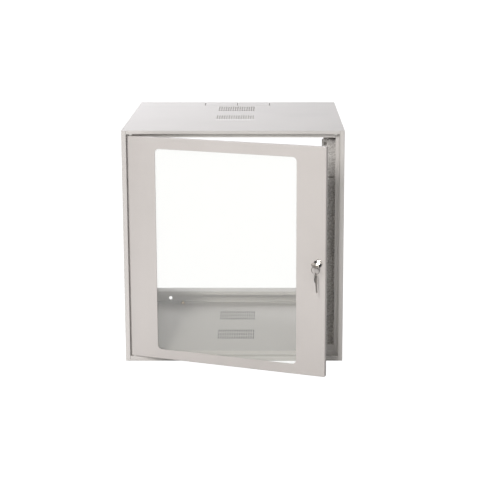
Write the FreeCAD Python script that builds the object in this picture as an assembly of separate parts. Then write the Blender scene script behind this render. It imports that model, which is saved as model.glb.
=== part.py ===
"""Wall mount network cabinet, 12 rack units high, with a hinged glazed door.

Millimetres. X runs along the cabinet's width, Y from the room (-Y) to the wall (Y = 0)
and Z up. The origin is the middle of the four wall-fixing holes, in the wall plane.
The door's pieces are laid out shut and then turned about the door pivot to stand ajar.
"""
import FreeCAD, Part
import math
import os

Vector = FreeCAD.Vector

# ---- the painted body -------------------------------------------------------------
width = 560.0               # over the side panels
height = 600.0              # over the top and bottom panels
depth = 600.0               # from the wall to the front face
sheet = 1.5                 # painted steel sheet
bend = 1.0                  # inside radius of every bend in it
lip_top = 9.5               # front faces around the door opening
lip_bottom = 13.0
lip_side = 12.0
rebate_depth = 17.0         # how far back the door stop stands
stop_width = 10.0           # how far the stop reaches into the opening
seam = 0.05                 # gap left between welded sheets
side_tab = 15.0             # side panel's inward edges at top and bottom
rear_flange = 31.0          # side panel's inward edge at the rear
side_tab_inset = 25.0       # where the top and bottom tabs start and end

# ---- vents and cable knock-outs in the top and bottom panels ----------------------
vent_columns = 16
vent_rows = 3
vent_slot_width = 3.0
vent_slot_length = 28.0
vent_column_pitch = 6.4
vent_row_pitch = 34.0
vent_middles = (154.0, 350.0)   # from the wall to the middle of each group
knockout_width = 90.0
knockout_depth = 80.0
knockout_cut = 1.8          # round the top plates
floor_knockout_cut = 0.6    # round the floor plates
knockout_bridge = 3.0       # two bridges hold each plate along its front edge

# ---- rear channels, which stiffen the back and carry the cabinet on the wall --------
channel_height = 44.5
channel_depth = 46.0
channel_lip = 10.0
channel_foot = 18.0
wall_hole = 10.0            # diameter
wall_hole_spacing = 406.0
wall_hole_inset = 13.5      # from the top and bottom faces

# ---- rack rails -----------------------------------------------------------------------
unit_height = 44.45
rail_end_room = 20.0        # least gap from the rack units to the top and bottom panels
unit_holes = (6.35, 22.225, 38.1)   # hole heights within one unit
rail_hole = 9.5             # side of the square holes
rail_hole_edge = 7.5        # from the rail's inner edge to the holes' middle
rail_sheet = 2.0
rail_bend = 1.0
rail_setback = 50.0         # from the front face to the rails
rail_margin = 3.8           # rail beyond the rack units, at each end
rail_face = 37.0
rail_web = 43.0
rail_return = 14.0          # inward edge along the face's inner side
rail_back_return = 18.0     # inward edge along the web's back, behind the tie slots
tie_slot_length = 12.0
tie_slot_width = 4.0
tie_slot_pitch = 95.0
tie_slot_edge = 12.0        # from the rail's outer edge to the slots' middle
tie_slot_drop = 16.0        # middle slot below the rail's middle

# ---- depth braces, top-hat sections that carry the rails ------------------------------
brace_height = 30.0
brace_brim = 12.0
brace_rise = 15.0           # crown above the brims
brace_from_end = 60.0       # from the top and bottom faces to the braces' middle
brace_front_gap = 22.0      # from the front face
brace_rear_gap = 50.0       # from the wall
brace_slot_length = 32.0
brace_slot_width = 6.6
brace_slot_pitch = 47.0
rivet_radius = 2.0
rivet_head_radius = 4.0
rivet_head_height = 1.3
rivet_end_gap = 20.0        # from the brace's ends

# ---- rail fasteners -----------------------------------------------------------------------
bolt_radius = 3.0
bolt_spacing = 18.0
bolt_head_radius = 5.5
bolt_head_height = 3.6
bolt_head_room = 0.5        # from the bolts' heads to the bend behind them
nut_flats = 10.0
nut_height = 5.0
bolt_proud = 2.5            # bolt beyond its nut

# ---- earth stud on the floor -----------------------------------------------------------
earth_x = -165.0
earth_from_wall = 26.0
earth_radius = 3.0
earth_length = 11.0
earth_washer_radius = 7.0
earth_washer_height = 1.4

# ---- door ------------------------------------------------------------------------------------
door_gap_side = 5.0
door_gap_top = 4.0
door_gap_bottom = 1.5
door_depth = 12.0
door_return = 9.0           # inward edge round the door's back
door_ajar = 20.9            # degrees open as it stands
window_margin_side = 75.0
window_margin_top = 28.3
window_margin_bottom = 25.5
window_corner = 11.0
glass_thickness = 4.0
glass_overlap = 11.0
tape_thickness = 1.0
tape_width = 9.0
clip_width = 12.0
clip_sheet = 1.2
clip_finger = 8.0           # over the glass
clip_foot = 14.0
clips_per_side = 4
clip_end_gap = 60.0         # from the glass's ends to the outer clips
clip_stud_radius = 2.0
clip_nut_flats = 7.0
clip_nut_height = 3.2
buffer_radius = 4.0
buffer_shut_gap = 0.4       # to the door stop when the door is shut
buffer_spread = 460.0

# ---- pivot pins, brackets and bushes ---------------------------------------------------
pivot_inset = 6.0           # from the door's edge and from its front face
pin_radius = 3.0
pin_clearance = 0.07        # radial, in every bore that the pins turn or slide in
pin_reach = 6.5             # into the lip's hole
pin_travel = 9.0
bush_sleeve_radius = 4.1
bush_sleeve_length = 5.5
bush_flange_radius = 4.8
bush_flange_top = 2.0
bush_flange_bottom = 1.2
bracket_length = 40.0
bracket_sheet = 1.5
bracket_width = 12.0
bracket_gap = 0.1
pin_tail = 9.0              # below the bracket
pin_tab_radius = 2.0
pin_tab_length = 15.0
collar_radius = 4.0
collar_height = 2.0
spring_wire = 0.7
spring_turns = 7
spring_steps = 14           # flats round each turn of the coil
spring_sides = 8            # flats round its wire
spring_clearance = 0.2      # round the pin
spring_length = 21.5
hole_clearance = 0.4        # round a pin where it only passes through a sheet

# ---- cam lock and keys ------------------------------------------------------------------------
lock_inset = 18.6           # from the door's free edge
lock_head_radius = 10.75
lock_head_height = 4.0
lock_barrel_radius = 9.0
lock_nut_flats = 22.0
lock_nut_height = 3.0
plug_radius = 6.0
plug_clearance = 0.08
plug_recess = 0.5           # below the lock's front
cam_behind_stop = 0.6
cam_thickness = 2.0
cam_radius = 5.0
cam_reach = 20.0
cam_tang = 7.0
cam_screw_radius = 2.0
cam_screw_depth = 7.4
cam_screw_head_radius = 4.2
cam_screw_head_height = 2.4
lock_turned = 60.0          # degrees from locked, as it stands
key_thickness = 1.8
key_blade_width = 7.0
key_blade_length = 18.5
key_neck = 6.0
key_bow_width = 21.0
key_bow_length = 26.0
key_hole_radius = 3.3
key_hole_margin = 3.0
keyway_clearance = 0.1
ring_radius = 10.0
ring_wire_radius = 0.65
ring_play = 0.3             # under the ring's wire where it hangs in a key's hole
spare_key_lean = 5.0        # degrees

# ---- worked out from the above ---------------------------------------------------------
side_x = width / 2
front_y = -depth
top_z = height / 2
inner_x = side_x - sheet
opening_x = side_x - lip_side
opening_top = top_z - lip_top
opening_bottom = lip_bottom - top_z
stop_y = front_y + rebate_depth
brim_x = inner_x - sheet
rail_x = brim_x - brace_rise
rack_edge = rail_x - rail_face
rail_y = front_y + rail_setback
rack_units = int((height - 2 * sheet - 2 * rail_end_room) // unit_height)
rail_length = rack_units * unit_height + 2 * rail_margin
brace_z = top_z - brace_from_end
door_x = opening_x - door_gap_side
door_top = opening_top - door_gap_top
door_bottom = opening_bottom + door_gap_bottom
door_middle = (door_top + door_bottom) / 2
door_skin_y = front_y + sheet
door_back_y = front_y + door_depth
window_x = door_x - window_margin_side
window_top = door_top - window_margin_top
window_bottom = door_bottom + window_margin_bottom
glass_back_y = door_skin_y + tape_thickness + glass_thickness
pivot_x = -door_x + pivot_inset
pivot_y = front_y + pivot_inset
lock_x = door_x - lock_inset
cam_y = stop_y + sheet + cam_behind_stop
plug_front_y = front_y - lock_head_height + plug_recess
key_hole_out = key_neck + key_bow_length - key_hole_margin - key_hole_radius
ring_y = plug_front_y - key_hole_out
bow_slope = math.radians(90 - lock_turned)
rim_x = lock_x + key_hole_radius * math.cos(bow_slope) + key_thickness / 2 * math.sin(bow_slope)
rim_z = door_middle - key_hole_radius * math.sin(bow_slope) + key_thickness / 2 * math.cos(bow_slope)
ring_z = rim_z + ring_play + ring_wire_radius - ring_radius

saved = []


def save(name, shape):
    """Writes one sub-part to its own STEP file."""
    shape.exportStep("parts/" + name + ".step")
    saved.append(name)


def box(x, y, z):
    """A block between two limits on each axis."""
    corner = Vector(min(x), min(y), min(z))
    return Part.makeBox(max(x) - min(x), max(y) - min(y), max(z) - min(z), corner)


def rod(radius, start, end):
    """A round bar from one point to another."""
    run = Vector(*end) - Vector(*start)
    return Part.makeCylinder(radius, run.Length, Vector(*start), run)


def hexagon(flats, height, base, axis):
    """A hexagonal bar, such as a nut, standing on base along axis."""
    points = []
    for corner in range(7):
        turn = math.radians(60 * corner)
        reach = flats / 2 / math.cos(math.radians(30))
        points.append(Vector(reach * math.cos(turn), reach * math.sin(turn), 0))
    bar = Part.Face(Part.makePolygon(points)).extrude(Vector(0, 0, height))
    bar.Placement = FreeCAD.Placement(Vector(*base), FreeCAD.Rotation(Vector(0, 0, 1), Vector(*axis)))
    return bar


def mirrored(shape):
    """The same piece for the other side of the cabinet."""
    return shape.mirror(Vector(0, 0, 0), Vector(1, 0, 0))


def group(solids):
    """Like pieces that share one node."""
    return Part.makeCompound(solids)


def rounded_outline(points, radii):
    """A closed wire through 2-D points, with an arc of the given radius at each."""
    count = len(points)
    starts, ends, middles = [], [], []
    for index in range(count):
        here = Vector(*points[index], 0)
        back = (Vector(*points[index - 1], 0) - here).normalize()
        ahead = (Vector(*points[(index + 1) % count], 0) - here).normalize()
        half = math.acos(max(-1.0, min(1.0, back.dot(ahead)))) / 2
        reach = radii[index] / math.tan(half)
        starts.append(here + back * reach)
        ends.append(here + ahead * reach)
        inward = (back + ahead).normalize()
        middles.append(here + inward * (radii[index] / math.sin(half) - radii[index]))
    edges = []
    for index in range(count):
        if radii[index] > 0:
            edges.append(Part.Arc(starts[index], middles[index], ends[index]).toShape())
        after = starts[(index + 1) % count]
        if (after - ends[index]).Length > 1e-6:
            edges.append(Part.LineSegment(ends[index], after).toShape())
    return Part.Wire(edges)


def folded(path, thickness, radius, plane, limits):
    """Bent sheet: its face follows the path and its metal lies to the path's right.

    The path is 2-D. The plane "XY" is drawn out along Z, "XZ" along Y and "YZ" along X,
    between the two limits.
    """
    left, right, turns = [], [], []
    normals = []
    for start, end in zip(path, path[1:]):
        length = math.hypot(end[0] - start[0], end[1] - start[1])
        normals.append(((end[1] - start[1]) / length, (start[0] - end[0]) / length))
    for index, point in enumerate(path):
        before = normals[max(index - 1, 0)]
        after = normals[min(index, len(normals) - 1)]
        share = 1 + before[0] * after[0] + before[1] * after[1]
        step = ((before[0] + after[0]) / share, (before[1] + after[1]) / share)
        left.append(point)
        right.append((point[0] + thickness * step[0], point[1] + thickness * step[1]))
        turns.append(before[0] * after[1] - before[1] * after[0])
    outside = radius + thickness
    left_radii = [0 if abs(t) < 1e-9 else (outside if t < 0 else radius) for t in turns]
    right_radii = [0 if abs(t) < 1e-9 else (radius if t < 0 else outside) for t in turns]
    wire = rounded_outline(left + right[::-1], left_radii + right_radii[::-1])
    run = max(limits) - min(limits)
    shape = Part.Face(wire).extrude(Vector(0, 0, run))
    columns = {"XY": (1, 0, 0, 0, 1, 0, 0, 0, 1),
               "XZ": (1, 0, 0, 0, 0, -1, 0, 1, 0),
               "YZ": (0, 0, 1, 1, 0, 0, 0, 1, 0)}[plane]
    start = max(limits) if plane == "XZ" else min(limits)
    offset = {"XY": (0, 0, start), "XZ": (0, start, 0), "YZ": (start, 0, 0)}[plane]
    matrix = FreeCAD.Matrix(columns[0], columns[1], columns[2], offset[0],
                            columns[3], columns[4], columns[5], offset[1],
                            columns[6], columns[7], columns[8], offset[2], 0, 0, 0, 1)
    return shape.transformed(matrix)


def slot(length, breadth, along, through, middle, cut):
    """A cutter for a round-ended slot."""
    half = (length - breadth) / 2
    first = Vector(*middle) - Vector(*along) * half - Vector(*through) * (cut / 2)
    last = first + Vector(*along) * (2 * half)
    across = Vector(*along).cross(Vector(*through)) * (breadth / 2)
    outline = [Part.LineSegment(first + across, last + across).toShape(),
               Part.Arc(last + across, last + Vector(*along) * (breadth / 2), last - across).toShape(),
               Part.LineSegment(last - across, first - across).toShape(),
               Part.Arc(first - across, first - Vector(*along) * (breadth / 2), first + across).toShape()]
    return Part.Face(Part.Wire(outline)).extrude(Vector(*through) * cut)


# ---- top and bottom panels ---------------------------------------------------------------

def panel_cutters(face_z, cut):
    """Vent slots and the cuts round the two cable knock-outs, through a panel at face_z."""
    cutters = []
    for middle in vent_middles:
        for row in range(vent_rows):
            y = -middle + (row - (vent_rows - 1) / 2) * vent_row_pitch
            for column in range(vent_columns):
                x = (column - (vent_columns - 1) / 2) * vent_column_pitch
                cutters.append(slot(vent_slot_length, vent_slot_width, (0, 1, 0), (0, 0, 1),
                                    (x, y, face_z), 4 * sheet))
    pitch = knockout_width + cut
    through = (face_z - 2 * sheet, face_z + 2 * sheet)
    for edge in (-1, 0, 1):
        x = edge * pitch
        cutters.append(box((x - cut / 2, x + cut / 2), (-knockout_depth, 1), through))
    for plate in (-0.5, 0.5):
        middle = plate * pitch
        third = knockout_width / 3
        for part in (-1, 0, 1):
            half = (third - knockout_bridge) / 2 if part == 0 else third / 2
            x = middle + part * third
            y = (-knockout_depth, cut - knockout_depth)
            cutters.append(box((x - half, x + half), y, through))
    return cutters


def end_panel(lip):
    """Top panel: flat sheet whose front edge folds down, back and down again as the door stop."""
    face = top_z - lip
    path = [(stop_y, face - stop_width), (stop_y, face), (front_y, face), (front_y, top_z), (0, top_z)]
    panel = folded(path, sheet, bend, "YZ", (-side_x, side_x))
    below = (-side_x, top_z - sheet)
    stop_clear = opening_x - stop_width - seam
    for side in (-1, 1):
        outer = (side * (opening_x - seam), side * (side_x + 1))
        panel = panel.cut(box(outer, (front_y - 1, 1), below))
        stop_end = (side * stop_clear, side * (side_x + 1))
        panel = panel.cut(box(stop_end, (stop_y + seam, 1), below))
        panel = panel.cut(box(stop_end, (stop_y - seam, 1), (below[0], face - seam)))
        bend_end = (side * (opening_x - bend - seam), side * (side_x + 1))
        panel = panel.cut(box(bend_end, (stop_y - bend - seam, stop_y), (below[0], face)))
        bush = rod(bush_sleeve_radius, (side * pivot_x, pivot_y, face - 1), (side * pivot_x, pivot_y, face + 4))
        panel = panel.cut(bush)
    return panel


def top_panel():
    return end_panel(lip_top).cut(group(panel_cutters(top_z, knockout_cut)))


def bottom_panel():
    upright = end_panel(lip_bottom)
    floor = upright.mirror(Vector(0, 0, 0), Vector(0, 0, 1))
    floor = floor.cut(group(panel_cutters(-top_z, floor_knockout_cut)))
    stud = (earth_x, -earth_from_wall)
    return floor.cut(rod(earth_radius, (*stud, -top_z - 1), (*stud, -top_z + 2 * sheet)))


# ---- side panels ----------------------------------------------------------------------------

def rivet_places():
    """Where the braces are riveted to the side panels, as (y, z)."""
    rows = brace_height / 2 + brace_brim / 2
    ends = (front_y + brace_front_gap + rivet_end_gap, -brace_rear_gap - rivet_end_gap)
    return [(y, up * brace_z + side * rows) for y in ends for up in (-1, 1) for side in (-1, 1)]


def right_side_panel():
    """Side sheet with the front face, the door's stop, a rear edge and welding tabs."""
    path = [(side_x - rear_flange, 0), (side_x, 0), (side_x, front_y), (opening_x, front_y),
            (opening_x, stop_y), (opening_x - stop_width, stop_y)]
    end = top_z - sheet
    panel = folded(path, sheet, bend, "XY", (-end, end))
    stop = (opening_x - stop_width - 1, opening_x)
    reach = (front_y + sheet / 2, stop_y + 2 * sheet)
    panel = panel.cut(box(stop, reach, (opening_top - seam, top_z)))
    panel = panel.cut(box(stop, reach, (opening_bottom + seam, -top_z)))
    tab_x = (side_x - side_tab, inner_x)
    tab_y = (front_y + side_tab_inset, -side_tab_inset)
    for side in (-1, 1):
        panel = panel.fuse(box(tab_x, tab_y, (side * end, side * (end - sheet))))
    for y, z in rivet_places():
        panel = panel.cut(rod(rivet_radius, (inner_x - 1, y, z), (side_x + 1, y, z)))
    return panel.removeSplitter()


# ---- rear channels ---------------------------------------------------------------------------

def rear_bottom_channel():
    """Web against the wall with the fixing holes, a ledge above it and two feet on the floor."""
    floor = -top_z + sheet
    ledge = -top_z + channel_height
    span = side_x - rear_flange - seam
    path = [(-channel_depth, ledge - channel_lip), (-channel_depth, ledge), (0, ledge),
            (0, floor), (-channel_foot, floor)]
    channel = folded(path, sheet, bend, "YZ", (-span, span))
    gap = 1.5 * knockout_cut + knockout_width
    channel = channel.cut(box((-gap, gap), (-channel_foot - 1, -sheet - bend), (floor - 1, floor + 2 * sheet)))
    for side in (-1, 1):
        hole = (side * wall_hole_spacing / 2, -top_z + wall_hole_inset)
        channel = channel.cut(rod(wall_hole / 2, (hole[0], -2 * sheet, hole[1]), (hole[0], 1, hole[1])))
    return channel


def rear_top_channel():
    return rear_bottom_channel().mirror(Vector(0, 0, 0), Vector(0, 0, 1))


# ---- rack rails and depth braces ----------------------------------------------------------

def bolt_places():
    """The two bolts at each end of a rail, as (y, z)."""
    last = rail_y + rail_web - rail_sheet - rail_bend - bolt_head_room - bolt_head_radius
    middle = last - bolt_spacing / 2
    return [(middle + step * bolt_spacing / 2, up * brace_z) for up in (-1, 1) for step in (-1, 1)]


def right_mounting_rail():
    """Galvanised rail: square-holed face, a web bolted to the braces and two stiffening edges."""
    path = [(rail_x - rail_back_return, rail_y + rail_web), (rail_x, rail_y + rail_web), (rail_x, rail_y),
            (rack_edge, rail_y), (rack_edge, rail_y + rail_return)]
    half = rail_length / 2
    rail = folded(path, rail_sheet, rail_bend, "XY", (-half, half))
    cutters = []
    x = rack_edge + rail_hole_edge
    y = (rail_y - 1, rail_y + rail_sheet + 1)
    first = -rack_units * unit_height / 2
    for unit in range(rack_units):
        for height_in_unit in unit_holes:
            z = first + unit * unit_height + height_in_unit
            square = (z - rail_hole / 2, z + rail_hole / 2)
            cutters.append(box((x - rail_hole / 2, x + rail_hole / 2), y, square))
    slot_count = int((rail_length - tie_slot_pitch / 2) // tie_slot_pitch)
    for step in range(slot_count):
        z = (step - (slot_count - 1) / 2) * tie_slot_pitch - tie_slot_drop
        cutters.append(slot(tie_slot_length, tie_slot_width, (1, 0, 0), (0, 1, 0),
                            (rail_x - tie_slot_edge, rail_y, z), 4 * rail_sheet))
    for y_bolt, z in bolt_places():
        cutters.append(rod(bolt_radius, (rail_x - 4, y_bolt, z), (rail_x + 1, y_bolt, z)))
    return rail.cut(group(cutters))


def right_depth_brace(up):
    """Top-hat section: brims riveted to the side panel, slotted crown behind the rail's web."""
    middle = up * brace_z
    low, high = middle - brace_height / 2, middle + brace_height / 2
    path = [(brim_x, low - brace_brim), (brim_x, low), (rail_x, low),
            (rail_x, high), (brim_x, high), (brim_x, high + brace_brim)]
    front, back = front_y + brace_front_gap, -brace_rear_gap
    brace = folded(path, sheet, bend, "XZ", (front, back))
    cutters = []
    first = sum(y for y, z in bolt_places()) / len(bolt_places())
    count = int((back - brace_slot_length - first) // brace_slot_pitch) + 1
    for step in range(count):
        cutters.append(slot(brace_slot_length, brace_slot_width, (0, 1, 0), (1, 0, 0),
                            (rail_x, first + step * brace_slot_pitch, middle), 4 * sheet))
    for y, z in rivet_places():
        if z * up > 0:
            cutters.append(rod(rivet_radius, (brim_x - 1, y, z), (side_x + 1, y, z)))
    return brace.cut(group(cutters))


def brace_rivets():
    """Domed rivets through the side panels and the braces' brims."""
    rivets = []
    for y, z in rivet_places():
        body = rod(rivet_radius, (brim_x, y, z), (side_x, y, z))
        outer = rod(rivet_head_radius, (side_x, y, z), (side_x + rivet_head_height, y, z))
        rim = [edge for edge in outer.Edges if edge.BoundBox.XMin > side_x + rivet_head_height / 2]
        outer = outer.makeFillet(rivet_head_height * 0.9, rim[:1])
        inner = rod(1.5 * rivet_radius, (brim_x - rivet_head_height, y, z), (brim_x, y, z))
        rivets.append(body.fuse([outer, inner]).removeSplitter())
    return group(rivets + [mirrored(rivet) for rivet in rivets])


def rail_bolts():
    """Round-headed bolts through the rails' webs and the braces' slots."""
    bolts = []
    head_x = rail_x - rail_sheet
    end_x = rail_x + sheet + nut_height + bolt_proud
    for y, z in bolt_places():
        head = rod(bolt_head_radius, (head_x - bolt_head_height, y, z), (head_x, y, z))
        rim = [edge for edge in head.Edges if edge.BoundBox.XMax < head_x - bolt_head_height / 2]
        head = head.makeFillet(bolt_head_height / 2, rim[:1])
        socket = hexagon(bolt_head_radius * 0.75, bolt_head_height, (head_x - bolt_head_height - 1, y, z),
                         (1, 0, 0))
        shank = rod(bolt_radius, (head_x, y, z), (end_x, y, z))
        bolts.append(head.cut(socket).fuse(shank).removeSplitter())
    return group(bolts + [mirrored(bolt) for bolt in bolts])


def rail_nuts():
    """Hexagonal nuts inside the braces."""
    nuts = []
    for y, z in bolt_places():
        nut = hexagon(nut_flats, nut_height, (rail_x + sheet, y, z), (1, 0, 0))
        nuts.append(nut.cut(rod(bolt_radius, (rail_x, y, z), (rail_x + 20, y, z))))
    return group(nuts + [mirrored(nut) for nut in nuts])


# ---- earth point on the floor ----------------------------------------------------------------

def earth_stud():
    start = (earth_x, -earth_from_wall, -top_z)
    stud = rod(earth_radius, start, (earth_x, -earth_from_wall, -top_z + sheet + earth_length))
    tip = [edge for edge in stud.Edges if edge.BoundBox.ZMin > -top_z + earth_length]
    return stud.makeChamfer(0.6, tip[:1])


def earth_nut():
    """Flange nut with its washer, clamped on the floor."""
    floor = -top_z + sheet
    place = (earth_x, -earth_from_wall)
    washer = rod(earth_washer_radius, (*place, floor), (*place, floor + earth_washer_height))
    nut = hexagon(nut_flats, nut_height, (*place, floor + earth_washer_height), (0, 0, 1))
    return washer.fuse(nut).cut(rod(earth_radius, (*place, floor - 1), (*place, floor + 20)))


# ---- door -----------------------------------------------------------------------------------------

def window_prism(inset, start_y, end_y):
    """The window's outline, made smaller all round by inset, drawn out along Y."""
    x, low, high = window_x - inset, window_bottom + inset, window_top - inset
    corners = [(-x, low), (x, low), (x, high), (-x, high)]
    radius = max(window_corner - inset, 1.0)
    face = Part.Face(rounded_outline(corners, [radius] * 4))
    face.rotate(Vector(0, 0, 0), Vector(1, 0, 0), 90)
    face.translate(Vector(0, start_y, 0))
    return face.extrude(Vector(0, end_y - start_y, 0))


def door_frame():
    """Pressed steel pan: front skin with the window, four edges and an inward return."""
    shell = box((-door_x, door_x), (front_y, door_back_y), (door_bottom, door_top))
    front_edges = [edge for edge in shell.Edges if edge.BoundBox.YMax < front_y + 0.1]
    upright = [edge for edge in shell.Edges if edge.BoundBox.YLength > door_depth / 2]
    shell = shell.makeFillet(bend + sheet, front_edges + upright)
    inner = (door_x - sheet, door_bottom + sheet, door_top - sheet)
    hollow = box((-inner[0], inner[0]), (door_skin_y, door_back_y - sheet), (inner[1], inner[2]))
    back = (door_x - door_return, door_bottom + door_return, door_top - door_return)
    mouth = box((-back[0], back[0]), (door_skin_y, door_back_y + 1), (back[1], back[2]))
    pan = shell.cut([hollow, mouth, window_prism(0, front_y - 1, door_back_y)])
    clear = pin_radius + hole_clearance
    pan = pan.cut(rod(clear, (pivot_x, pivot_y, door_top - 2 * sheet), (pivot_x, pivot_y, door_top + 1)))
    pan = pan.cut(rod(clear, (pivot_x, pivot_y, door_bottom - 1), (pivot_x, pivot_y, door_bottom + 2 * sheet)))
    lock_hole = rod(lock_barrel_radius, (lock_x, front_y - 1, door_middle), (lock_x, door_skin_y + 1, door_middle))
    return pan.cut(lock_hole)


def door_glass():
    """Toughened glass, larger than the window all round, with its edges ground."""
    pane = window_prism(-glass_overlap, door_skin_y + tape_thickness, glass_back_y)
    return pane.makeChamfer(0.4, [edge for edge in pane.Edges if edge.BoundBox.YLength < 0.01])


def glass_tape():
    """Double-sided foam tape between the door's skin and the glass."""
    start, end = door_skin_y, door_skin_y + tape_thickness
    inset = -(glass_overlap - 1)
    return window_prism(inset, start, end).cut(window_prism(inset + tape_width, start - 1, end + 1))


def clip_places():
    """Heights of the glass clips along each side."""
    low = window_bottom - glass_overlap + clip_end_gap
    high = window_top + glass_overlap - clip_end_gap
    return [low + (high - low) * step / (clips_per_side - 1) for step in range(clips_per_side)]


def glass_clips():
    """Stepped clips that hold the glass's long edges from behind."""
    edge_x = window_x + glass_overlap + 0.5
    foot_y = door_skin_y + clip_sheet
    path = [(edge_x + clip_foot, foot_y), (edge_x + clip_sheet, foot_y),
            (edge_x + clip_sheet, glass_back_y + clip_sheet),
            (edge_x - clip_finger, glass_back_y + clip_sheet)]
    clips = []
    for z in clip_places():
        clip = folded(path[::-1], clip_sheet, 0.4, "XY", (z - clip_width / 2, z + clip_width / 2))
        stud_x = edge_x + clip_foot / 2 + clip_sheet / 2
        clips.append(clip.cut(rod(clip_stud_radius, (stud_x, front_y, z), (stud_x, door_back_y, z))))
    return group(clips + [mirrored(clip) for clip in clips])


def glass_clip_nuts():
    """Studs welded to the door's skin, each with its nut on the clip."""
    stud_x = window_x + glass_overlap + 0.5 + clip_foot / 2 + clip_sheet / 2
    foot_y = door_skin_y + clip_sheet
    nuts = []
    for z in clip_places():
        stud = rod(clip_stud_radius, (stud_x, door_skin_y, z), (stud_x, foot_y + clip_nut_height + 1.5, z))
        nut = hexagon(clip_nut_flats, clip_nut_height, (stud_x, foot_y, z), (0, 1, 0))
        nuts.append(stud.fuse(nut).removeSplitter())
    return group(nuts + [mirrored(nut) for nut in nuts])


def door_buffers():
    """Rubber buttons on the back of the door's free edge."""
    x = door_x - door_return / 2
    end = stop_y - buffer_shut_gap
    buffers = []
    for z in (-buffer_spread / 2, 0, buffer_spread / 2):
        button = rod(buffer_radius, (x, door_back_y, z + door_middle), (x, end, z + door_middle))
        rim = [edge for edge in button.Edges if edge.BoundBox.YMin > end - 0.1]
        buffers.append(button.makeFillet(1.0, rim[:1]))
    return group(buffers)


# ---- pivots ------------------------------------------------------------------------------------------

def pivot_bush(x, lip_z, up, flange):
    """Flanged nylon bush in a lip's hole: the sleeve goes up and the flange faces the door."""
    inside = lip_z - up * flange
    outside = lip_z + up * bush_sleeve_length
    bush = rod(bush_flange_radius, (x, pivot_y, inside), (x, pivot_y, lip_z))
    bush = bush.fuse(rod(bush_sleeve_radius, (x, pivot_y, lip_z), (x, pivot_y, outside)))
    bore = rod(pin_radius + pin_clearance, (x, pivot_y, inside - up), (x, pivot_y, outside + up))
    return bush.cut(bore).removeSplitter()


def pivot_bushes():
    """Two hold the door's pins. The other two wait for the door to be hung from the right."""
    bushes = []
    for x in (pivot_x, -pivot_x):
        bushes.append(pivot_bush(x, opening_top, 1, bush_flange_top))
        bushes.append(pivot_bush(x, opening_bottom, -1, bush_flange_bottom))
    return group(bushes)


def pivot_bracket(edge_z, up, bore):
    """U-shaped bracket welded in a corner of the door: two drilled ears on one web."""
    x = (-door_x + sheet, -door_x + sheet + bracket_width)
    y = (door_skin_y, door_back_y - sheet)
    first = edge_z - up * sheet
    last = first - up * bracket_length
    bracket = box((x[1] - bracket_sheet, x[1]), y, (first, last))
    bracket = bracket.fuse(box(x, y, (first, first - up * bracket_sheet)))
    bracket = bracket.fuse(box(x, y, (last, last + up * bracket_sheet)))
    hole = rod(bore, (pivot_x, pivot_y, first + up), (pivot_x, pivot_y, last - up))
    return bracket.cut(hole).removeSplitter()


def upper_hinge_bracket():
    return pivot_bracket(door_top, 1, pin_radius + pin_clearance)


def lower_hinge_bracket():
    return pivot_bracket(door_bottom, -1, pin_radius)


def upper_hinge_pin():
    """Spring-loaded pin with a collar for its spring and a finger tab to draw it down."""
    ear = door_top - sheet - bracket_length
    top = opening_top + pin_reach
    pin = rod(pin_radius, (pivot_x, pivot_y, ear - pin_tail), (pivot_x, pivot_y, top))
    tip = [edge for edge in pin.Edges if edge.BoundBox.ZMin > top - 0.1]
    pin = pin.makeChamfer(0.8, tip[:1])
    collar_z = ear + bracket_sheet + spring_length
    collar = rod(collar_radius, (pivot_x, pivot_y, collar_z), (pivot_x, pivot_y, collar_z + collar_height))
    tab_z = ear - pin_tail + pin_tab_radius + 1
    tab = rod(pin_tab_radius, (pivot_x, pivot_y, tab_z), (pivot_x + pin_tab_length, pivot_y, tab_z))
    end = [edge for edge in tab.Edges if edge.BoundBox.XMin > pivot_x + pin_tab_length - 0.1]
    tab = tab.makeFillet(1.0, end[:1])
    return pin.fuse([collar, tab]).removeSplitter()


def upper_pin_spring():
    """Coil spring between the bracket's lower ear and the pin's collar."""
    start = door_top - sheet - bracket_length + bracket_sheet
    coil_radius = pin_radius + spring_clearance + spring_wire / 2
    rise = spring_length - spring_wire
    stations = spring_turns * spring_steps
    rings = []
    for station in range(stations + 1):
        turn = 2 * math.pi * station / spring_steps
        middle_z = start + spring_wire / 2 + rise * station / stations
        ring = []
        for side in range(spring_sides):
            angle = 2 * math.pi * side / spring_sides
            reach = coil_radius + spring_wire / 2 * math.cos(angle)
            x = pivot_x + reach * math.cos(turn)
            y = pivot_y + reach * math.sin(turn)
            ring.append(Vector(x, y, middle_z + spring_wire / 2 * math.sin(angle)))
        rings.append(ring)
    faces = [Part.Face(Part.makePolygon(end + end[:1])) for end in (rings[0], rings[-1])]
    for lower, upper in zip(rings, rings[1:]):
        for side in range(spring_sides):
            after = (side + 1) % spring_sides
            first = [lower[side], lower[after], upper[side], lower[side]]
            second = [lower[after], upper[after], upper[side], lower[after]]
            faces += [Part.Face(Part.makePolygon(first)), Part.Face(Part.makePolygon(second))]
    return Part.Solid(Part.Shell(faces))


def lower_hinge_pin():
    """Fixed pin that carries the door's weight, pressed into its bracket."""
    last = door_bottom + sheet + bracket_length
    low = opening_bottom - bush_sleeve_length - 1
    pin = rod(pin_radius, (pivot_x, pivot_y, low), (pivot_x, pivot_y, last + 1))
    tip = [edge for edge in pin.Edges if edge.BoundBox.ZMax < low + 0.1]
    return pin.makeChamfer(0.8, tip[:1])


# ---- lock and keys --------------------------------------------------------------------------------

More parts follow.
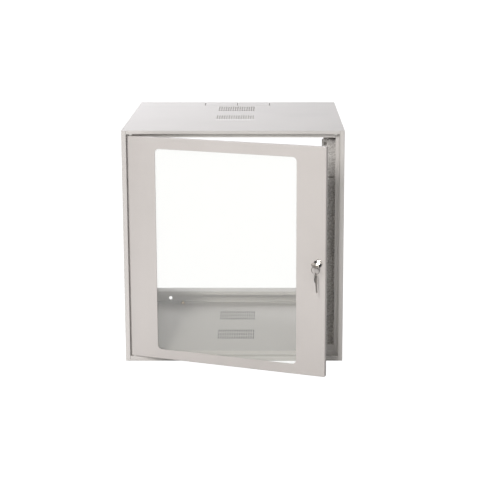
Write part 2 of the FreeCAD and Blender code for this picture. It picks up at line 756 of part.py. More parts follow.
def lock_body():
    """Chromed lock housing: domed head on the door's face and a barrel behind it."""
    back = stop_y + sheet
    head = rod(lock_head_radius, (lock_x, front_y - lock_head_height, door_middle), (lock_x, front_y, door_middle))
    rim = [edge for edge in head.Edges if edge.BoundBox.YMax < front_y - lock_head_height + 0.1]
    head = head.makeFillet(1.6, rim[:1])
    barrel = rod(lock_barrel_radius, (lock_x, front_y, door_middle), (lock_x, back, door_middle))
    bore = rod(plug_radius + plug_clearance, (lock_x, front_y - 10, door_middle), (lock_x, back + 1, door_middle))
    return head.fuse(barrel).cut(bore).removeSplitter()


def lock_nut():
    nut = hexagon(lock_nut_flats, lock_nut_height, (lock_x, door_skin_y, door_middle), (0, 1, 0))
    hole = rod(lock_barrel_radius, (lock_x, door_skin_y - 1, door_middle), (lock_x, door_skin_y + 9, door_middle))
    return nut.cut(hole)


def lock_plug():
    """Turning plug: keyway in front, square tang and screw hole behind. Drawn locked."""
    plug = rod(plug_radius, (lock_x, plug_front_y, door_middle), (lock_x, cam_y, door_middle))
    half = cam_tang / 2
    tang = box((lock_x - half, lock_x + half), (cam_y, cam_y + cam_thickness),
               (door_middle - half, door_middle + half))
    side = key_thickness / 2 + keyway_clearance
    up = key_blade_width / 2 + keyway_clearance
    keyway = box((lock_x - side, lock_x + side), (plug_front_y - 1, plug_front_y + key_blade_length + 0.5),
                 (door_middle - up, door_middle + up))
    end = cam_y + cam_thickness
    bore = rod(cam_screw_radius, (lock_x, end - cam_screw_depth + cam_screw_head_height, door_middle),
               (lock_x, end + 1, door_middle))
    return plug.fuse(tang).cut([keyway, bore]).removeSplitter()


def lock_cam():
    """Flat lever that reaches behind the door stop. Drawn locked, pointing to the stop."""
    cam = slot(cam_reach + cam_radius + 2, 2 * cam_radius, (1, 0, 0), (0, 1, 0),
               (lock_x + (cam_reach - cam_radius - 2) / 2, cam_y + cam_thickness / 2, door_middle), cam_thickness)
    half = cam_tang / 2
    hub = rod(cam_radius + 2, (lock_x, cam_y, door_middle), (lock_x, cam_y + cam_thickness, door_middle))
    hole = box((lock_x - half, lock_x + half), (cam_y - 1, cam_y + cam_thickness + 1),
               (door_middle - half, door_middle + half))
    return cam.fuse(hub).cut(hole).removeSplitter()


def cam_screw():
    start = cam_y + cam_thickness
    head = rod(cam_screw_head_radius, (lock_x, start, door_middle),
               (lock_x, start + cam_screw_head_height, door_middle))
    rim = [edge for edge in head.Edges if edge.BoundBox.YMin > start + cam_screw_head_height - 0.1]
    head = head.makeFillet(0.9, rim[:1])
    shank = rod(cam_screw_radius, (lock_x, start - cam_screw_depth + cam_screw_head_height, door_middle),
                (lock_x, start, door_middle))
    top = start + cam_screw_head_height
    recess = box((lock_x - 0.6, lock_x + 0.6), (top - 1.0, top + 1), (door_middle - 5, door_middle + 5))
    return head.fuse(shank).cut(recess).removeSplitter()


def flat_key():
    """Key in the XZ plane, its shoulder at the origin: bow and ring hole up, blade down."""
    half = key_blade_width / 2
    bow_middle = key_neck + key_bow_length / 2
    bow = Part.Ellipse(Vector(0, bow_middle, 0), key_bow_length / 2, key_bow_width / 2)
    bow.Axis = Vector(0, 0, 1)
    outline = Part.Face(Part.Wire(bow.toShape()))
    outline.rotate(Vector(0, bow_middle, 0), Vector(0, 0, 1), 90)
    blade = Part.Face(Part.makePolygon([
        Vector(-half, bow_middle, 0), Vector(-half, -key_blade_length + half, 0), Vector(0, -key_blade_length, 0),
        Vector(half, -key_blade_length + half / 2, 0), Vector(half, bow_middle, 0), Vector(-half, bow_middle, 0)]))
    teeth = [0.62, 0.46, 0.3, 0.16]
    plate = outline.fuse(blade).removeSplitter().extrude(Vector(0, 0, key_thickness))
    plate.translate(Vector(0, 0, -key_thickness / 2))
    cutters = [rod(key_hole_radius, (0, key_hole_out, -5), (0, key_hole_out, 5))]
    for index, share in enumerate(teeth):
        depth_of_cut = 1.0 + 0.5 * (index % 2)
        y = -key_blade_length * share
        points = [Vector(half + 0.5, y - 1.8, -5), Vector(half - depth_of_cut, y, -5), Vector(half + 0.5, y + 1.8, -5)]
        cutters.append(Part.Face(Part.makePolygon(points + points[:1])).extrude(Vector(0, 0, 10)))
    key = plate.cut(cutters)
    key.rotate(Vector(0, 0, 0), Vector(1, 0, 0), 90)
    return key


def inserted_key():
    """The key in the plug: its blade runs along +Y and its width stands up, as when locked."""
    key = flat_key()
    key.rotate(Vector(0, 0, 0), Vector(1, 0, 0), 90)
    key.rotate(Vector(0, 0, 0), Vector(0, 1, 0), 90)
    key.translate(Vector(lock_x, plug_front_y, door_middle))
    return key


def key_ring():
    """Wire ring hanging from the low rim of the hole in the key's bow, parallel to the door."""
    middle = Vector(rim_x, ring_y, ring_z)
    return Part.makeTorus(ring_radius, ring_wire_radius, middle, Vector(0, 1, 0))


def spare_key():
    """The second key, hanging edge-on from the bottom of the ring."""
    key = flat_key()
    key.rotate(Vector(0, 0, 0), Vector(0, 0, 1), 90)
    drop = key_hole_radius - ring_wire_radius - ring_play
    bottom = Vector(rim_x, ring_y, ring_z - ring_radius)
    key.translate(bottom - Vector(0, 0, drop + key_hole_out))
    key.rotate(bottom, Vector(0, 1, 0), -spare_key_lean)
    return key


# ---- everything in its place ----------------------------------------------------------------

os.makedirs("parts", exist_ok=True)

save("top_panel", top_panel())
save("bottom_panel", bottom_panel())
save("right_side_panel", right_side_panel())
save("left_side_panel", mirrored(right_side_panel()))
save("rear_top_channel", rear_top_channel())
save("rear_bottom_channel", rear_bottom_channel())
save("right_mounting_rail", right_mounting_rail())
save("left_mounting_rail", mirrored(right_mounting_rail()))
for level, up in (("upper", 1), ("lower", -1)):
    save("right_" + level + "_depth_brace", right_depth_brace(up))
    save("left_" + level + "_depth_brace", mirrored(right_depth_brace(up)))
save("brace_rivets", brace_rivets())
save("rail_bolts", rail_bolts())
save("rail_nuts", rail_nuts())
save("earth_stud", earth_stud())
save("earth_nut", earth_nut())
save("pivot_bushes", pivot_bushes())

door_pieces = {
    "door_frame": door_frame(), "door_glass": door_glass(), "glass_tape": glass_tape(),
    "glass_clips": glass_clips(), "glass_clip_nuts": glass_clip_nuts(), "door_buffers": door_buffers(),
    "upper_hinge_bracket": upper_hinge_bracket(), "lower_hinge_bracket": lower_hinge_bracket(),
    "upper_hinge_pin": upper_hinge_pin(), "upper_pin_spring": upper_pin_spring(),
    "lower_hinge_pin": lower_hinge_pin(), "lock_body": lock_body(), "lock_nut": lock_nut(),
    "key_ring": key_ring(), "spare_key": spare_key()}
lock_axis = Vector(lock_x, 0, door_middle)
for name, piece in (("lock_plug", lock_plug()), ("lock_cam", lock_cam()),
                    ("cam_screw", cam_screw()), ("key", inserted_key())):
    piece.rotate(lock_axis, Vector(0, 1, 0), -lock_turned)
    door_pieces[name] = piece
for name, piece in door_pieces.items():
    piece.rotate(Vector(pivot_x, pivot_y, 0), Vector(0, 0, 1), -door_ajar)
    save(name, piece)

print("saved", len(saved), "sub-parts")
print("door pivot", round(pivot_x, 2), round(pivot_y, 2), "lock", round(lock_x, 2), round(door_middle, 2))
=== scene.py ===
"""A wall mount network cabinet in light grey sheet steel, with its glazed door ajar.

The cabinet's sheet metal, rails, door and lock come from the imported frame. This script
gives every one of them its finish, makes the fine pieces that a solid leaves plain, and
sets the cabinet in a white studio. Sizes are in metres, but for the two turned profiles,
which are in millimetres.
"""
import math

import bmesh
import bpy
from mathutils import Matrix, Vector


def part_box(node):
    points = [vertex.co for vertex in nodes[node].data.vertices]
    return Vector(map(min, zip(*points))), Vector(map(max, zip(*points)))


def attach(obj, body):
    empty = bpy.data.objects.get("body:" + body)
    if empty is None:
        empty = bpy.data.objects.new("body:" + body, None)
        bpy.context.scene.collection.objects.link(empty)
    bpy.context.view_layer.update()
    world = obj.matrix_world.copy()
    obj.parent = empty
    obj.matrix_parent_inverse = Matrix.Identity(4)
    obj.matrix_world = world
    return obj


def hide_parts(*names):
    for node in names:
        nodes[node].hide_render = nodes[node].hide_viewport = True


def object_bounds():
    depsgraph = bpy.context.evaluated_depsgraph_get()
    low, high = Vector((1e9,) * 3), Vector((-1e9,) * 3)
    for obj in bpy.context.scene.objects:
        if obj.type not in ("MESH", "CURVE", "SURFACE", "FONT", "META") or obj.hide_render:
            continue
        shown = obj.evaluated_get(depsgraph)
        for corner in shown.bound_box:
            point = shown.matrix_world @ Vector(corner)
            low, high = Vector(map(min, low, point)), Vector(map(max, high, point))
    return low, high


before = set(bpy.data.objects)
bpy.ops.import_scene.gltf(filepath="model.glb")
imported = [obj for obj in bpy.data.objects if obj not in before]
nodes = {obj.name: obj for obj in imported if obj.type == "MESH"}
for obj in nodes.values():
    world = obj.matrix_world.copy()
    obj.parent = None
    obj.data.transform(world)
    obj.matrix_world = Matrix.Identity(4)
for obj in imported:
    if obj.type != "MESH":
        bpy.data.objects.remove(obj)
cad_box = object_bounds()

# ---- Camera ----------------------------------------------------------------------------
# A long lens a little right of the cabinet's middle and above its top, tipped down. A
# small shift of the lens sets the cabinet in its place without turning the camera.
tip = 12.36
lens = bpy.data.cameras.new("studio_camera")
lens.sensor_width = 36.0
lens.lens = 107.7
lens.shift_x = -0.0597
lens.shift_y = 0.0048
lens.clip_end = 60.0
camera = bpy.data.objects.new("studio_camera", lens)
camera.location = (0.0894, -4.166, 0.7958)
camera.rotation_euler = (math.radians(90 - tip), 0, 0)
bpy.context.collection.objects.link(camera)
bpy.context.scene.camera = camera
bpy.context.scene.view_settings.view_transform = "Standard"


# ---- Studio floor and light ------------------------------------------------------------
# A white paper floor that runs out of sight, in a room whose walls are white only where
# they are seen and dim where they would be mirrored. The main lamp is tall and stands in
# front on the left; weaker ones stand at the right, over the left side and behind.
class Value:
    """A socket in a finish. Arithmetic on it adds Math nodes, and add() any other node."""

    def __init__(self, tree, socket=None):
        self.tree = tree
        self.socket = socket

    def add(self, kind, sockets=None, output=0, stops=None, **settings):
        node = self.tree.nodes.new(kind)
        for name, setting in settings.items():
            setattr(node, name, setting)
        if stops:
            ramp = node.color_ramp.elements
            while len(ramp) < len(stops):
                ramp.new(0.5)
            for element, (place, colour) in zip(ramp, stops):
                element.position = place
                element.color = (*colour, 1)
        for name, given in (sockets or {}).items():
            if isinstance(given, Value):
                self.tree.links.new(given.socket, node.inputs[name])
            else:
                node.inputs[name].default_value = given
        return Value(self.tree, node.outputs[output] if len(node.outputs) else None)

    def maths(self, operation, first, second=0.0):
        return self.add("ShaderNodeMath", {0: first, 1: second}, operation=operation)

    def __add__(self, other):
        return self.maths("ADD", self, other)

    def __sub__(self, other):
        return self.maths("SUBTRACT", self, other)

    def __rsub__(self, other):
        return self.maths("SUBTRACT", other, self)

    def __mul__(self, other):
        return self.maths("MULTIPLY", self, other)

    def __gt__(self, other):
        return self.maths("GREATER_THAN", self, other)

    __radd__ = __add__


def new_finish(name):
    """An empty material: the material, and a Value to build its nodes with."""
    material = bpy.data.materials.new(name)
    material.use_nodes = True
    material.node_tree.nodes.clear()
    return material, Value(material.node_tree)


def in_plain_view(make):
    """Two masks: what is seen straight or through the glass before any bounce, and mirrors."""
    seen = make.add("ShaderNodeLightPath")
    rays = {name: Value(seen.tree, seen.socket.node.outputs[name])
            for name in ("Is Transmission Ray", "Glossy Depth", "Diffuse Depth", "Is Glossy Ray")}
    unbounced = 1.0 - ((rays["Glossy Depth"] + rays["Diffuse Depth"]) > 0.5)
    return seen.maths("MAXIMUM", seen, rays["Is Transmission Ray"]) * unbounced, rays["Is Glossy Ray"]


floor_size = 24.0
floor_level = cad_box[0][2]
floor_mesh = bpy.data.meshes.new("studio_floor")
corner = floor_size / 2
floor_corners = [(-corner, -corner, floor_level), (corner, -corner, floor_level),
                 (corner, corner, floor_level), (-corner, corner, floor_level)]
floor_mesh.from_pydata(floor_corners, [], [(0, 1, 2, 3)])
studio_floor = bpy.data.objects.new("studio_floor", floor_mesh)
bpy.context.collection.objects.link(studio_floor)

# Under the cabinet, and in mirrors, the paper is painted dark grey: a painted shade, not one that
#  the lamps cast. Elsewhere it glows for the camera, which leaves only a faint trace of the
#  cabinet's shadow on it.
footprint_middle = -0.3
footprint_reach = (0.276, 0.296)
paper_white = (0.90, 0.90, 0.90, 1)
# Painted shade: the dark grey that the paper takes under the cabinet and in mirrors.
painted_floor_shade = (0.10, 0.10, 0.10, 1)
pure_white = (1, 1, 1, 1)
full_glow = 1.14
glow_share = 0.94
white_paper, make = new_finish("white_paper")
direct, mirrored = in_plain_view(make)
spot = make.add("ShaderNodeTexCoord", output="Object")
from_middle = make.add("ShaderNodeVectorMath", {0: spot, 1: (0, footprint_middle, floor_level)},
                       operation="SUBTRACT")
across = make.add("ShaderNodeSeparateXYZ", {"Vector": from_middle}, output="X")
along = Value(across.tree, across.socket.node.outputs["Y"])
outside = across.maths("ABSOLUTE", across) > footprint_reach[0]
beyond = along.maths("ABSOLUTE", along) > footprint_reach[1]
open_floor = outside.maths("MAXIMUM", outside, beyond)
unpainted_paper = open_floor * (1.0 - mirrored)
shade = make.add("ShaderNodeMix", {0: unpainted_paper, 6: painted_floor_shade, 7: paper_white}, output=2, data_type="RGBA")
paper = make.add("ShaderNodeBsdfDiffuse", {"Color": shade})
glow = make.add("ShaderNodeEmission", {"Color": pure_white, "Strength": full_glow})
blended = make.add("ShaderNodeMixShader", {0: direct * open_floor * glow_share, 1: paper, 2: glow})
make.add("ShaderNodeOutputMaterial", {"Surface": blended})
floor_mesh.materials.append(white_paper)

room_light = {"Color": (0.99, 0.995, 1.0, 1), "Strength": 0.28}
room_in_mirrors = {"Color": (0.94, 0.97, 1.0, 1), "Strength": 0.03}
room = bpy.data.worlds.new("white_room")
bpy.context.scene.world = room
room.use_nodes = True
room.node_tree.nodes.clear()
make = Value(room.node_tree)
straight, mirrored = in_plain_view(make)
ambient = make.add("ShaderNodeBackground", room_light)
backdrop = make.add("ShaderNodeBackground", {"Color": pure_white, "Strength": full_glow})
dusk = make.add("ShaderNodeBackground", room_in_mirrors)
around = make.add("ShaderNodeMixShader", {0: mirrored, 1: ambient, 2: dusk})
both = make.add("ShaderNodeMixShader", {0: straight, 1: around, 2: backdrop})
make.add("ShaderNodeOutputWorld", {"Surface": both})


def soft_lamp(name, size, power, colour, place, target):
    """A soft box at place that faces target."""
    light = bpy.data.lights.new(name, "AREA")
    light.shape = "RECTANGLE"
    light.size, light.size_y = size
    light.energy = power
    light.color = colour
    lamp = bpy.data.objects.new(name, light)
    lamp.location = place
    lamp.rotation_euler = (Vector(target) - Vector(place)).to_track_quat("-Z", "Y").to_euler()
    lamp.visible_camera = False
    bpy.context.collection.objects.link(lamp)


warm_white = (1.0, 0.98, 0.96)
door_middle = (0.1, -0.6, 0)
soft_lamp("key_light", (0.6, 1.3), 92.0, warm_white, (-0.62, -4.1, 1.85), door_middle)
soft_lamp("side_light", (1.0, 1.0), 6.0, warm_white, (1.3, -4.2, 0.7), door_middle)
soft_lamp("top_light", (1.4, 1.4), 41.0, (0.925, 0.935, 1.0), (-1.5, 0.2, 1.6), (0, -0.3, 0.3))
soft_lamp("rear_light", (2.2, 2.0), 25.8, (0.98, 0.99, 1.0), (-0.2, 2.4, 1.5), (0, -0.2, -0.3))


# ---- Body panels and rear channels -----------------------------------------------------
# Folded 1.5 mm steel sheet, spot-welded into a box and powder-coated light grey. The
# cured powder has a fine orange-peel skin, and light handling leaves it a little uneven.
def powder_coat(name, colour, dullness):
    """Grey powder coat: a fine skin, faint clouding and specks. Dullness is its mean roughness."""
    material, make = new_finish(name)
    place = make.add("ShaderNodeTexCoord", output="Object")
    clouds = make.add("ShaderNodeTexNoise", {"Vector": place, "Scale": 5.5, "Detail": 4.0}, output="Fac")
    grains = make.add("ShaderNodeTexNoise", {"Vector": place, "Scale": 900.0, "Detail": 2.0}, output="Fac")
    skin = make.add("ShaderNodeTexNoise", {"Vector": place, "Scale": 420.0, "Detail": 2.0}, output="Fac")
    darker = tuple(part * 0.955 for part in colour)
    lighter = tuple(min(1.0, part * 1.025) for part in colour)
    shade = clouds * 0.6 + grains * 0.4
    tint = make.add("ShaderNodeValToRGB", {"Fac": shade}, output="Color",
                    stops=[(0.36, darker), (0.5, colour), (0.66, lighter)])
    roughness = dullness + (clouds - 0.5) * 0.10 + (grains - 0.5) * 0.08
    bump = make.add("ShaderNodeBump", {"Height": skin * 0.7 + grains * 0.3, "Strength": 0.22,
                                       "Distance": 0.00012})
    coat = make.add("ShaderNodeBsdfPrincipled", {"Base Color": tint, "Roughness": roughness, "Normal": bump,
                                                 "IOR": 1.48, "Specular IOR Level": 0.38})
    make.add("ShaderNodeOutputMaterial", {"Surface": coat})
    return material


def finish(names, material):
    """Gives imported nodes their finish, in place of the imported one."""
    for name in names:
        mesh = nodes[name].data
        mesh.materials.clear()
        mesh.materials.append(material)


body_grey = (0.62, 0.595, 0.572)
body_coat = powder_coat("body_powder_coat", body_grey, dullness=0.62)
finish(["top_panel", "bottom_panel", "left_side_panel", "right_side_panel", "rear_top_channel",
        "rear_bottom_channel"], body_coat)


# ---- Rack rails and depth braces -------------------------------------------------------
# Rolled from hot-dip galvanised sheet. The zinc froze into crystals a few millimetres
# across, each with its own brightness, and the sheet is left unpainted.
def galvanised_sheet(name):
    """Zinc in crystals of about 3 mm, with finer fronds in them and a broad haze over all."""
    material, make = new_finish(name)
    place = make.add("ShaderNodeTexCoord", output="Object")
    crystal = make.add("ShaderNodeTexVoronoi", {"Vector": place, "Scale": 330.0, "Randomness": 1.0},
                       output="Color")
    fern = make.add("ShaderNodeTexVoronoi", {"Vector": place, "Scale": 900.0, "Randomness": 1.0},
                    output="Color")
    flake = make.add("ShaderNodeSeparateColor", {"Color": crystal}, output="Red")
    frond = make.add("ShaderNodeSeparateColor", {"Color": fern}, output="Green")
    haze = make.add("ShaderNodeTexNoise", {"Vector": place, "Scale": 25.0, "Detail": 3.0}, output="Fac")
    shine = flake * 0.5 + frond * 0.25 + haze * 0.25
    tint = make.add("ShaderNodeValToRGB", {"Fac": shine}, output="Color",
                    stops=[(0.2, (0.55, 0.53, 0.51)), (0.5, (0.69, 0.67, 0.65)), (0.85, (0.86, 0.84, 0.82))])
    bump = make.add("ShaderNodeBump", {"Height": flake * 0.6 + frond * 0.4, "Strength": 0.55,
                                       "Distance": 0.0002})
    zinc = make.add("ShaderNodeBsdfPrincipled", {"Base Color": tint, "Metallic": 0.96,
                                                 "Roughness": 0.68 - flake * 0.12, "Normal": bump})
    make.add("ShaderNodeOutputMaterial", {"Surface": zinc})
    return material


galvanised = galvanised_sheet("spangled_zinc")
finish(["left_mounting_rail", "right_mounting_rail", "left_upper_depth_brace", "right_upper_depth_brace",
        "left_lower_depth_brace", "right_lower_depth_brace", "glass_clips"], galvanised)

# ---- Door frame and pivot brackets -----------------------------------------------------
# One pressed steel pan with the window cut out, coated with the same grey powder. Its grey is
#  set a little darker than the body's, which is painted shade.
# Painted shade: the body's grey, darkened for the door and its brackets.
door_grey_painted_darker = (0.578, 0.545, 0.522)
door_coat = powder_coat("door_powder_coat", door_grey_painted_darker, dullness=0.46)
finish(["door_frame", "upper_hinge_bracket", "lower_hinge_bracket"], door_coat)


# ---- Bolts, nuts, pins, cam and other plated steel -------------------------------------
# Turned and pressed steel with a bright zinc plating, finely scratched by the tools.
def scratched_metal(name, colour, roughness, grain):
    """Smooth or plated metal. Grain is how fine its scratches are."""
    material, make = new_finish(name)
    place = make.add("ShaderNodeTexCoord", output="Object")
    scratches = make.add("ShaderNodeTexNoise", {"Vector": place, "Scale": grain, "Detail": 6.0}, output="Fac")
    blotches = make.add("ShaderNodeTexNoise", {"Vector": place, "Scale": 190.0, "Detail": 3.0}, output="Fac")
    darker = tuple(part * 0.86 for part in colour)
    tint = make.add("ShaderNodeValToRGB", {"Fac": blotches}, output="Color",
                    stops=[(0.35, darker), (0.62, colour)])
    bump = make.add("ShaderNodeBump", {"Height": scratches, "Strength": 0.12, "Distance": 0.00008})
    metal = make.add("ShaderNodeBsdfPrincipled", {
        "Base Color": tint, "Metallic": 1.0, "Normal": bump,
        "Roughness": roughness + (scratches - 0.5) * 0.16 + (blotches - 0.5) * 0.1})
    make.add("ShaderNodeOutputMaterial", {"Surface": metal})
    return material


zinc_plate = scratched_metal("bright_zinc_plate", (0.72, 0.73, 0.75), 0.3, 900.0)
finish(["rail_bolts", "rail_nuts", "lower_hinge_pin", "upper_hinge_pin", "lock_nut", "lock_cam", "cam_screw",
        "glass_clip_nuts", "upper_pin_spring"], zinc_plate)

# ---- Brace rivets ----------------------------------------------------------------------
# Blind rivets in dull aluminium hold each brace's brims to the side panel. Their domed
# heads are outside, with the broken mandrel sunk in the middle, and their bulbs inside.
rivet_profile = [(0, 0.75), (0.8, 0.7), (0.9, 0.3), (1.15, 0.3), (1.25, 1.2), (1.6, 1.3), (2.6, 1.12),
                 (3.4, 0.72), (3.9, 0.25), (4.0, 0.0), (2.0, 0.0), (2.0, -3.0), (2.9, -3.05), (3.0, -3.7),
                 (2.5, -4.3), (0, -4.3)]
rivet_rows = (0.219, 0.261)
rivet_columns = (-0.558, -0.070)
aluminium = scratched_metal("dull_aluminium", (0.66, 0.66, 0.67), 0.42, 900.0)
millimetre = 0.001
crease = math.radians(38)


def turned(name, profile, steps):
    """A lathe-turned mesh about +Z. The profile's (radius, height) pairs are in millimetres, and
    it is closed through its ends, or at the axis where it starts there."""
    shape = bmesh.new()
    rings = []
    for radius, height in profile:
        if radius == 0:
            rings.append([shape.verts.new((0, 0, height * millimetre))])
            continue
        rings.append([shape.verts.new((radius * millimetre * math.cos(turn),
                                       radius * millimetre * math.sin(turn), height * millimetre))
                      for turn in (2 * math.pi * step / steps for step in range(steps))])
    closed = profile[0][0] > 0
    pairs = list(zip(rings, rings[1:] + rings[:1] if closed else rings[1:]))
    for first, second in pairs:
        for step in range(steps):
            after = (step + 1) % steps
            corners = [first[step % len(first)], first[after % len(first)],
                       second[after % len(second)], second[step % len(second)]]
            shape.faces.new(list(dict.fromkeys(corners)))
    bmesh.ops.recalc_face_normals(shape, faces=shape.faces)
    mesh = bpy.data.meshes.new(name)
    shape.to_mesh(mesh)
    shape.free()
    mesh.shade_smooth()
    mesh.set_sharp_from_angle(angle=crease)
    return mesh


def new_tree(name, sizes):
    """An empty geometry tree with its named inputs, and a Value for each of them."""
    tree = bpy.data.node_groups.new(name, "GeometryNodeTree")
    tree.interface.new_socket(name="Geometry", in_out="INPUT", socket_type="NodeSocketGeometry")
    kinds = {int: "NodeSocketInt", float: "NodeSocketFloat", tuple: "NodeSocketVector"}
    for label, size in sizes.items():
        kind = kinds.get(type(size), "NodeSocketObject")
        tree.interface.new_socket(name=label, in_out="INPUT", socket_type=kind)
    tree.interface.new_socket(name="Geometry", in_out="OUTPUT", socket_type="NodeSocketGeometry")
    source = tree.nodes.new("NodeGroupInput")
    return tree, {socket.name: Value(tree, socket) for socket in source.outputs if socket.name}


def grown(name, tree, sizes, made, material, points=()):
    """Ends a tree, runs it on a mesh of points and keeps the result as a plain mesh piece."""
    whole = made.add("GeometryNodeRealizeInstances", {"Geometry": made})
    dressed = whole.add("GeometryNodeSetMaterial", {"Geometry": whole, "Material": material})
    dressed.add("NodeGroupOutput", {"Geometry": dressed})
    mesh = bpy.data.meshes.new(name)
    mesh.from_pydata(points, [], [])
    piece = bpy.data.objects.new(name, mesh)
    bpy.context.collection.objects.link(piece)
    modifier = piece.modifiers.new("growth", "NODES")
    modifier.node_group = tree
    for socket in tree.interface.items_tree:
        if socket.in_out == "INPUT" and socket.name in sizes:
            modifier[socket.identifier] = sizes[socket.name]
    result = piece.evaluated_get(bpy.context.evaluated_depsgraph_get())
    piece.data = bpy.data.meshes.new_from_object(result)
    piece.modifiers.remove(modifier)
    piece.data.shade_smooth()
    piece.data.set_sharp_from_angle(angle=crease)
    return piece


one_rivet = bpy.data.objects.new("one_rivet", turned("one_rivet", rivet_profile, 24))
half_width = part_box("right_side_panel")[1][0]
rivet_places = [(side * half_width, y, up * z) for side in (-1, 1) for y in rivet_columns
                for up in (-1, 1) for z in rivet_rows]
sizes = {"Rivet": one_rivet, "Scale": 1.0}
tree, given = new_tree("rivet_rows", sizes)
place = given["Geometry"].add("GeometryNodeInputPosition")
sideways = place.add("ShaderNodeVectorMath", {0: place, 1: (1, 0, 0)}, operation="MULTIPLY")
facing = sideways.add("FunctionNodeAlignRotationToVector", {"Vector": sideways}, axis="Z")
rivet = facing.add("GeometryNodeObjectInfo", {"Object": given["Rivet"]}, output="Geometry")
rows = rivet.add("GeometryNodeInstanceOnPoints", {"Points": given["Geometry"], "Instance": rivet,
                                                  "Rotation": facing, "Scale": given["Scale"]})
rivets = grown("blind_rivets", tree, sizes, rows, aluminium, rivet_places)
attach(rivets, "cabinet")
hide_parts("brace_rivets")
bpy.data.objects.remove(one_rivet)


# ---- Earth stud and nut ----------------------------------------------------------------
# A threaded M6 brass stud pressed into the floor, with its washer and flange nut.
brass = scratched_metal("drawn_brass", (0.62, 0.46, 0.27), 0.4, 700.0)
finish(["earth_nut"], brass)
stud_low, stud_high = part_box("earth_stud")
stud_middle = ((stud_low[0] + stud_high[0]) / 2, (stud_low[1] + stud_high[1]) / 2, stud_low[2])
stud_length = stud_high[2] - stud_low[2]
tip_chamfer = 0.0006
sizes = {"Length": stud_length - tip_chamfer, "Core Radius": 0.00262, "Thread Depth": 0.00036,
         "Pitch": 0.001, "Place": stud_middle}
tree, given = new_tree("threaded_stud", sizes)
climb = given["Length"] - given["Thread Depth"] * 2.0
helix = climb.add("GeometryNodeCurveSpiral", {
    "Resolution": 24, "Rotations": climb.maths("DIVIDE", climb, given["Pitch"]),
    "Start Radius": given["Core Radius"], "End Radius": given["Core Radius"], "Height": climb})
crest = helix.add("GeometryNodeCurvePrimitiveCircle", {"Resolution": 4, "Radius": given["Thread Depth"]})
ridge = crest.add("GeometryNodeCurveToMesh", {"Curve": helix, "Profile Curve": crest, "Fill Caps": True})
above_foot = ridge.add("ShaderNodeCombineXYZ", {"Z": given["Thread Depth"]})
ridge = ridge.add("GeometryNodeTransform", {"Geometry": ridge, "Translation": above_foot})
core = ridge.add("GeometryNodeMeshCylinder", {"Vertices": 32, "Radius": given["Core Radius"],
                                              "Depth": given["Length"]}, output="Mesh")
lift = given["Length"].add("ShaderNodeCombineXYZ", {"Z": given["Length"] * 0.5})
core = core.add("GeometryNodeTransform", {"Geometry": core, "Translation": lift})
both = core.add("GeometryNodeJoinGeometry")
for shape in (ridge, core):
    both.tree.links.new(shape.socket, both.socket.node.inputs["Geometry"])
placed = both.add("GeometryNodeTransform", {"Geometry": both, "Translation": given["Place"]})
stud = grown("threaded_stud", tree, sizes, placed, brass)
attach(stud, "cabinet")
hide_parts("earth_stud")


# ---- Pivot bushes, buffers and tape ----------------------------------------------------
# Natural nylon bushes moulded in one piece, soft black buffers and black foam tape.
def moulded(name, colour, roughness, grain, depth):
    """A moulded plastic, rubber or foam. Grain is how fine its pores are, and depth how deep."""
    material, make = new_finish(name)
    place = make.add("ShaderNodeTexCoord", output="Object")
    mottle = make.add("ShaderNodeTexNoise", {"Vector": place, "Scale": grain, "Detail": 4.0}, output="Fac")
    darker = tuple(part * 0.85 for part in colour)
    tint = make.add("ShaderNodeValToRGB", {"Fac": mottle}, output="Color",
                    stops=[(0.3, darker), (0.65, colour)])
    bump = make.add("ShaderNodeBump", {"Height": mottle, "Strength": 0.3, "Distance": depth})
    body = make.add("ShaderNodeBsdfPrincipled", {"Base Color": tint, "Normal": bump,
                                                 "Roughness": roughness + (mottle - 0.5) * 0.12})
    make.add("ShaderNodeOutputMaterial", {"Surface": body})
    return material


finish(["pivot_bushes"], moulded("natural_nylon", (0.72, 0.71, 0.67), 0.45, 500.0, 0.0001))
finish(["door_buffers"], moulded("black_rubber", (0.03, 0.03, 0.032), 0.7, 600.0, 0.0001))
finish(["glass_tape"], moulded("black_foam", (0.025, 0.025, 0.025), 0.9, 1500.0, 0.0003))


# ---- Door glass ------------------------------------------------------------------------
# Toughened float glass, 4 mm thick and faintly green. Its ground edges lie behind the pan.
def float_glass(name):
    """Clear glass that lets lamp light and soft light pass with only its tint."""
    material, make = new_finish(name)
    place = make.add("ShaderNodeTexCoord", output="Object")
    film = make.add("ShaderNodeTexNoise", {"Vector": place, "Scale": 9.0, "Detail": 3.0}, output="Fac")
    # About a tenth of the pane is white diffuse: a painted reflection, a veil of light from the bright room.
    pane = make.add("ShaderNodeBsdfPrincipled", {
        "Base Color": (0.99, 0.992, 0.98, 1), "Transmission Weight": 0.89, "IOR": 1.5,
        "Roughness": film * 0.02})
    clear = make.add("ShaderNodeBsdfTransparent", {"Color": (0.93, 0.94, 0.92, 1)})
    path = make.add("ShaderNodeLightPath", output="Is Shadow Ray")
    diffuse = Value(path.tree, path.socket.node.outputs["Is Diffuse Ray"])
    passing = path.maths("MAXIMUM", path, diffuse)
    surface = make.add("ShaderNodeMixShader", {0: passing, 1: pane, 2: clear})
    make.add("ShaderNodeOutputMaterial", {"Surface": surface})
    return material


finish(["door_glass"], float_glass("float_glass"))

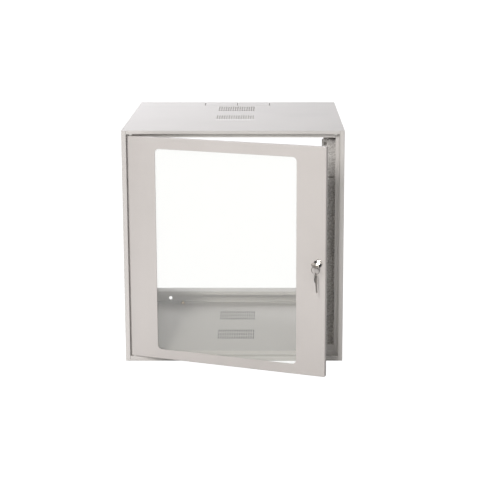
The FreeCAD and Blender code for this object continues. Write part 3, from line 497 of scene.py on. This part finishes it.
# ---- Lock ------------------------------------------------------------------------------
# A die-cast housing, chromed and polished: a rounded bezel that dips to the turning plug,
# on a barrel that passes through the door.
door_ajar = math.radians(-20.9)
door_pivot = Vector((-0.257, -0.594, 0))
swung = (Matrix.Translation(door_pivot) @ Matrix.Rotation(door_ajar, 4, "Z")
         @ Matrix.Translation(-door_pivot))
lock_face = Vector((0.2444, -0.6, 0.0005))
bezel_profile = [(6.08, -18.5), (6.08, 3.1), (6.4, 3.35), (7.6, 3.45), (8.6, 3.95), (9.3, 3.95), (10.1, 3.5),
                 (10.6, 2.7), (10.75, 1.6), (10.75, 0), (9.0, 0), (9.0, -18.5)]
chrome = scratched_metal("polished_chrome", (0.80, 0.79, 0.78), 0.09, 1500.0)
bezel_mesh = turned("lock_bezel", bezel_profile, 64)
bezel_mesh.transform(swung @ Matrix.Translation(lock_face) @ Matrix.Rotation(math.radians(90), 4, "X"))
bezel_mesh.materials.append(chrome)
bezel = bpy.data.objects.new("lock_bezel", bezel_mesh)
bpy.context.collection.objects.link(bezel)
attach(bezel, "door")
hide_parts("lock_body")
finish(["lock_plug"], chrome)


# ---- Keys ------------------------------------------------------------------------------
# Two keys stamped from one strip, tumbled until their edges are soft, and nickel-plated.
# One is in the plug and the other hangs edge-on from the ring.
nickel = scratched_metal("nickel_plate", (0.84, 0.81, 0.77), 0.32, 1200.0)


def softened(name, node, body, material, edge):
    """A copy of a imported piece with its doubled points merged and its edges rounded."""
    shape = bmesh.new()
    shape.from_mesh(nodes[node].data)
    bmesh.ops.remove_doubles(shape, verts=shape.verts, dist=1e-6)
    bmesh.ops.dissolve_limit(shape, angle_limit=math.radians(1), verts=shape.verts, edges=shape.edges)
    mesh = bpy.data.meshes.new(name)
    shape.to_mesh(mesh)
    shape.free()
    mesh.materials.append(material)
    mesh.shade_smooth()
    piece = bpy.data.objects.new(name, mesh)
    bpy.context.collection.objects.link(piece)
    rounding = piece.modifiers.new("rounding", "BEVEL")
    rounding.width = edge
    rounding.segments = 3
    rounding.limit_method = "ANGLE"
    rounding.angle_limit = math.radians(40)
    rounding.harden_normals = True
    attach(piece, body)
    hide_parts(node)
    return piece


softened("turned_key", "key", "lock_core", nickel, 0.00028)
softened("hanging_key", "spare_key", "spare_key", nickel, 0.00028)


# ---- Key ring --------------------------------------------------------------------------
# Flat spring wire wound nearly twice round, so its two coils lie side by side. The steel
# is plain and darker than the plated keys.
spring_steel = scratched_metal("ring_spring_steel", (0.24, 0.22, 0.20), 0.3, 1200.0)
ring_low, ring_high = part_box("key_ring")
ring_middle = tuple((low + high) / 2 for low, high in zip(ring_low, ring_high))
ring_outside = (ring_high[2] - ring_low[2]) / 2
wire = 0.0003
wire_flatness = 2.1
half_band = 0.00065
sizes = {"Ring Radius": ring_outside - half_band, "Wire Radius": wire, "Flatness": wire_flatness,
         "Turns": 1.93, "Coil Gap": 2.1 * wire, "Place": ring_middle,
         "Tilt": (math.radians(90), 0.0, door_ajar)}
tree, given = new_tree("split_ring", sizes)
coil = given["Turns"].add("GeometryNodeCurveSpiral", {
    "Resolution": 64, "Rotations": given["Turns"], "Start Radius": given["Ring Radius"],
    "End Radius": given["Ring Radius"], "Height": given["Coil Gap"]})
upright = coil.add("GeometryNodeSetCurveNormal", {"Curve": coil}, mode="Z_UP")
wire_end = coil.add("GeometryNodeCurvePrimitiveCircle", {"Resolution": 16, "Radius": given["Wire Radius"]})
flat = wire_end.add("ShaderNodeCombineXYZ", {"X": given["Flatness"], "Y": 1.0, "Z": 1.0})
section = flat.add("GeometryNodeTransform", {"Geometry": wire_end, "Scale": flat})
wound = section.add("GeometryNodeCurveToMesh", {"Curve": upright, "Profile Curve": section,
                                                "Fill Caps": True})
drop = given["Coil Gap"].add("ShaderNodeCombineXYZ", {"Z": given["Coil Gap"] * -0.5})
centred = wound.add("GeometryNodeTransform", {"Geometry": wound, "Translation": drop})
hung = centred.add("GeometryNodeTransform", {"Geometry": centred, "Translation": given["Place"],
                                             "Rotation": given["Tilt"]})
ring = grown("split_ring", tree, sizes, hung, spring_steel)
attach(ring, "key_ring")
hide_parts("key_ring")
